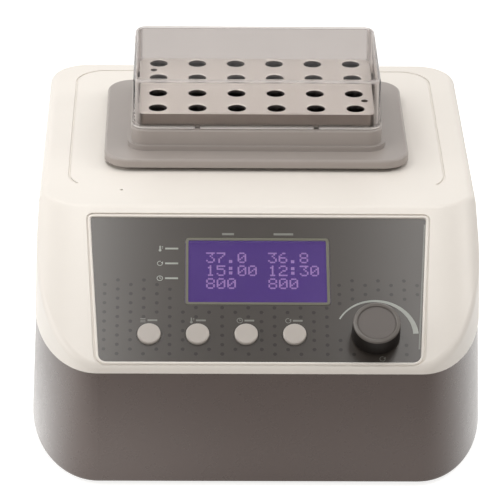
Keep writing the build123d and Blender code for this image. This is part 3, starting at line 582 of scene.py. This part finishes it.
def printed_dots():
    """Staggered dots over the lower part of the panel, wherever it is bare."""
    radius, rows, columns = 1.15, 9, 26
    column_pitch, row_pitch = 7.55, 6.26
    first_x, first_s = -96.95, 51.5
    side_margin, end_margin = 3, 2.5
    dots = []
    for i in range(columns):
        x = first_x + i * column_pitch
        stagger = row_pitch / 2 if i % 2 else 0
        for j in range(rows):
            s = first_s + j * row_pitch + stagger
            down_panel = (s - panel_start) / (panel_end - panel_start)
            half = panel_half_top + (panel_half_end - panel_half_top) * down_panel
            on_panel = abs(x) < half - side_margin and s < panel_end - end_margin
            if on_panel and not taken(x, s):
                dots.append(disc(x, s, radius, 12))
    return dots


print_on_panel("panel_dots", printed_dots(), print_dark, dot_height)

# painted highlight: a pale line of dim ink inside the overlay's right edge, where that edge catches the
# light
line_start, line_end, line_thickness = 12.0, 98.0, 0.9
top_x, end_x = panel_half_top - 0.4, panel_half_end - 0.1
overlay_edge_highlight = [
    (top_x - line_thickness, line_start),
    (top_x, line_start),
    (end_x, line_end),
    (end_x - line_thickness, line_end),
]
print_on_panel("panel_edge_highlight", [overlay_edge_highlight], dim_ink_and_highlight)


# ---------------------------------------------------------------- knob bezel
def knob_bezel():
    """A rounded ring round the knob's face; its profile is (radius, height) in millimetres."""
    profile = ((10.95, 12.62), (11.7, 13.3), (12.4, 13.42), (13.0, 13.3), (13.3, 12.98))
    count = 72
    loops = [[console(x, s, n) for x, s in disc(knob_x, control_s, r, count)] for r, n in profile]
    piece("knob_bezel", closed_band(loops), bezel_plastic, "knob_turn")


knob_bezel()

# ---------------------------------------------------------------- display figures
# five columns by seven rows a figure, as such displays draw them
GLYPHS = {
    "0": "01110 10001 10011 10101 11001 10001 01110",
    "1": "00100 01100 00100 00100 00100 00100 01110",
    "2": "01110 10001 00001 00110 01000 10000 11111",
    "3": "11111 00010 00100 00010 00001 10001 01110",
    "5": "11111 10000 11110 00001 00001 10001 01110",
    "6": "00110 01000 10000 11110 10001 10001 01110",
    "7": "11111 00001 00010 00100 01000 01000 01000",
    "8": "01110 10001 10001 01110 10001 10001 01110",
    ".": "00000 00000 00000 00000 00000 01100 01100",
    ":": "00000 01100 01100 00000 01100 01100 00000",
}


def lit_cells(text, columns_apart=6):
    """The column and row of each lit cell in a line of figures."""
    for place_in_text, letter in enumerate(text):
        for row, line in enumerate(GLYPHS[letter].split()):
            for column, lit in enumerate(line):
                if lit == "1":
                    yield place_in_text * columns_apart + column, row


def display_figures():
    """The display's generic figures, a small square for each lit cell."""
    cell_w, cell_h, cell_fill = 1.02, 1.05, 0.95
    column_xs, row_ss = (-30.2, 6.0), (31.8, 40.8, 49.7)
    texts = (("37.0", "36.8"), ("15:00", "12:30"), ("800", "800"))
    cells = []
    for first_s, row_texts in zip(row_ss, texts):
        for first_x, text in zip(column_xs, row_texts):
            for column, row in lit_cells(text):
                x, s = first_x + column * cell_w, first_s + row * cell_h
                cells.append(bar(x, s, cell_w * cell_fill, cell_h * cell_fill))
    return cells


lcd_face, figure_depth = -2.55, 0.05
plates("display_figures", display_figures(), lcd_face - figure_depth, lcd_face, lcd_text)


# ---------------------------------------------------------------- bead round the panel
def rounded_corner(centre, radius, start, count=8):
    """A quarter circle from an angle in degrees."""
    angles = [math.radians(start + 90 * i / count) for i in range(count + 1)]
    return [(centre[0] + radius * math.cos(a), centre[1] + radius * math.sin(a)) for a in angles]


def bead_path(grow):
    """The overlay's outline grown outwards, as (x, s) all the way round."""
    top, end = panel_half_top + grow, panel_half_end + grow
    start_s, end_s = panel_start - grow, panel_end + grow
    end_radius, top_radius = 4.5 + grow, 1.5 + grow
    path = rounded_corner((end - end_radius, end_s - end_radius), end_radius, 0)
    path += rounded_corner((-end + end_radius, end_s - end_radius), end_radius, 90)
    path += rounded_corner((-top + top_radius, start_s + top_radius), top_radius, 180)
    path += rounded_corner((top - top_radius, start_s + top_radius), top_radius, 270)
    return path


def panel_bead():
    """The moulded bead round the overlay; its profile is (distance outwards, height) in millimetres."""
    rise = [(0.15, -0.9), (0.15, -0.45), (0.35, -0.18), (0.7, -0.05)]
    fall = [(1.25, -0.05), (1.6, -0.18), (1.8, -0.45), (1.8, -0.9)]
    loops = [[console(x, s, n) for x, s in bead_path(grow)] for grow, n in rise + fall]
    shell = made["white_shell"].material
    piece("panel_bead", closed_band(loops), shell, "housing", smooth=True)


panel_bead()

# ---------------------------------------------------------------- floor
daylight = (1, 0.995, 0.985, 1)


def make_floor():
    """A pale floor that keeps the object's shadow; its glow reaches only rays no matt surface scattered."""
    half_size, under_feet = 14.0, 0.0002
    # what the camera and the clear cover see: white, with a soft shadow close to the object
    glow_seen, glow_in_glass = 0.84, 0.56
    # what glossy surfaces mirror: dimmer in front of the object, brighter in pools beside it
    glow_far, glow_near, far_y, near_y = 0.55, 1.12, -0.34, -0.16
    pools = (((-0.2, -0.2, 0), 0.9), ((0.2, -0.2, 0), 0.12))
    pool_edge, pool_core = 0.22, 0.05

    mesh = bpy.data.meshes.new("floor")
    corners = [(x * half_size, y * half_size, 0) for x, y in ((-1, -1), (1, -1), (1, 1), (-1, 1))]
    mesh.from_pydata(corners, [], [(0, 1, 2, 3)])
    floor = bpy.data.objects.new("floor", mesh)
    scene.collection.objects.link(floor)
    floor.location.z = -under_feet

    n = Nodes("floor")
    n.set(Base_Color=(0.6, 0.6, 0.595, 1), Roughness=0.9, Specular_IOR_Level=0.0)
    position = n.add("ShaderNodeTexCoord").outputs["Object"]
    mirror_level = ramped(n.tree, split(n.tree, position)["Y"], far_y, near_y, glow_far, glow_near)
    for centre, level in pools:
        apart = n.add("ShaderNodeVectorMath", operation="DISTANCE")
        n.join(position, apart.inputs[0])
        apart.inputs[1].default_value = centre
        pool = ramped(n.tree, apart.outputs["Value"], pool_edge, pool_core, 0.0, level)
        mirror_level = arithmetic(n.tree, "ADD", mirror_level, pool)
    rays = n.add("ShaderNodeLightPath").outputs
    # a ray through rough glass counts as glossy too
    mirror_only = arithmetic(n.tree, "SUBTRACT", rays["Is Glossy Ray"], rays["Is Transmission Ray"])
    mirror_only = arithmetic(n.tree, "MAXIMUM", mirror_only, 0.0)
    strength = arithmetic(n.tree, "MULTIPLY", mirror_only, mirror_level)
    for kind, level in (("Is Camera Ray", glow_seen), ("Is Transmission Ray", glow_in_glass)):
        strength = arithmetic(n.tree, "ADD", strength, arithmetic(n.tree, "MULTIPLY", rays[kind], level))
    unscattered = arithmetic(n.tree, "LESS_THAN", rays["Diffuse Depth"], 0.5)
    glow = n.add("ShaderNodeEmission", {"Color": daylight})
    n.join(arithmetic(n.tree, "MULTIPLY", strength, unscattered), glow.inputs["Strength"])
    both = n.add("ShaderNodeAddShader")
    n.join(n.shader.outputs[0], both.inputs[0])
    n.join(glow.outputs[0], both.inputs[1])
    n.join(both.outputs[0], n.out.inputs["Surface"])
    mesh.materials.append(n.material)


make_floor()


# ---------------------------------------------------------------- world
def seen_directly(tree, mirrored):
    """1 for camera and glass rays, and for mirror rays if asked, that no matt surface has scattered."""
    path = new_node(tree, "ShaderNodeLightPath").outputs
    rays = arithmetic(tree, "MAXIMUM", path["Is Camera Ray"], path["Is Transmission Ray"])
    if mirrored:
        rays = arithmetic(tree, "MAXIMUM", rays, path["Is Glossy Ray"])
    else:
        unmirrored = arithmetic(tree, "LESS_THAN", path["Glossy Depth"], 0.5)
        rays = arithmetic(tree, "MULTIPLY", rays, unmirrored)
    return arithmetic(tree, "MULTIPLY", rays, arithmetic(tree, "LESS_THAN", path["Diffuse Depth"], 0.5))


def make_world():
    """White where it is seen; matt surfaces get the studio level, mirrors also a dimmer ceiling."""
    studio_level, white_level, ceiling_level = 0.31, 1.0, 0.3
    ceiling_starts, ceiling_full = 0.6, 0.85
    world = bpy.data.worlds.new("studio")
    scene.world = world
    world.use_nodes = True
    tree = world.node_tree
    background = tree.nodes["Background"]
    background.inputs["Color"].default_value = daylight
    direction = split(tree, new_node(tree, "ShaderNodeTexCoord").outputs["Generated"])
    ends = {
        "From Min": ceiling_starts,
        "From Max": ceiling_full,
        "To Min": white_level,
        "To Max": ceiling_level,
    }
    ceiling = new_node(tree, "ShaderNodeMapRange", ends)
    tree.links.new(direction["Z"], ceiling.inputs["Value"])
    unseen = new_node(tree, "ShaderNodeMix", {"A": studio_level})
    tree.links.new(seen_directly(tree, mirrored=True), unseen.inputs["Factor"])
    tree.links.new(ceiling.outputs["Result"], unseen.inputs["B"])
    level = new_node(tree, "ShaderNodeMix", {"B": white_level})
    tree.links.new(seen_directly(tree, mirrored=False), level.inputs["Factor"])
    tree.links.new(unseen.outputs["Result"], level.inputs["A"])
    tree.links.new(level.outputs["Result"], background.inputs["Strength"])


make_world()


# ---------------------------------------------------------------- lamps
def softbox(name, location, aim, size, power, colour=(1.0, 0.99, 0.97)):
    """An area lamp pointed at a place on the object."""
    data = bpy.data.lights.new(name, "AREA")
    data.shape = "RECTANGLE"
    data.size, data.size_y = size
    data.energy, data.color = power, colour
    lamp = bpy.data.objects.new(name, data)
    scene.collection.objects.link(lamp)
    lamp.location = location
    lamp.rotation_mode = "QUATERNION"
    lamp.rotation_quaternion = (Vector(aim) - Vector(location)).to_track_quat("-Z", "Y")


# two strips overhead light the panel's sides, so it darkens towards its middle
softbox("left_strip", (-0.17, 0.075, 0.56), (-0.12, 0.075, 0.1), (0.65, 0.12), 1.2)
softbox("right_strip", (0.165, 0.075, 0.56), (0.12, 0.075, 0.1), (0.65, 0.12), 0.68)
softbox("left_side", (-0.85, -0.1, 0.36), (-0.1, -0.02, 0.05), (0.7, 0.4), 3.0)
softbox("right_key", (0.66, 0.02, 0.62), (0.05, -0.04, 0.1), (0.16, 0.16), 1.3, (1.0, 0.965, 0.93))
softbox("front_box", (0.0, -1.3, 0.14), (0, 0, 0.08), (1.2, 0.22), 3.3, (1.0, 0.93, 0.87))

scene.view_settings.view_transform = "Standard"
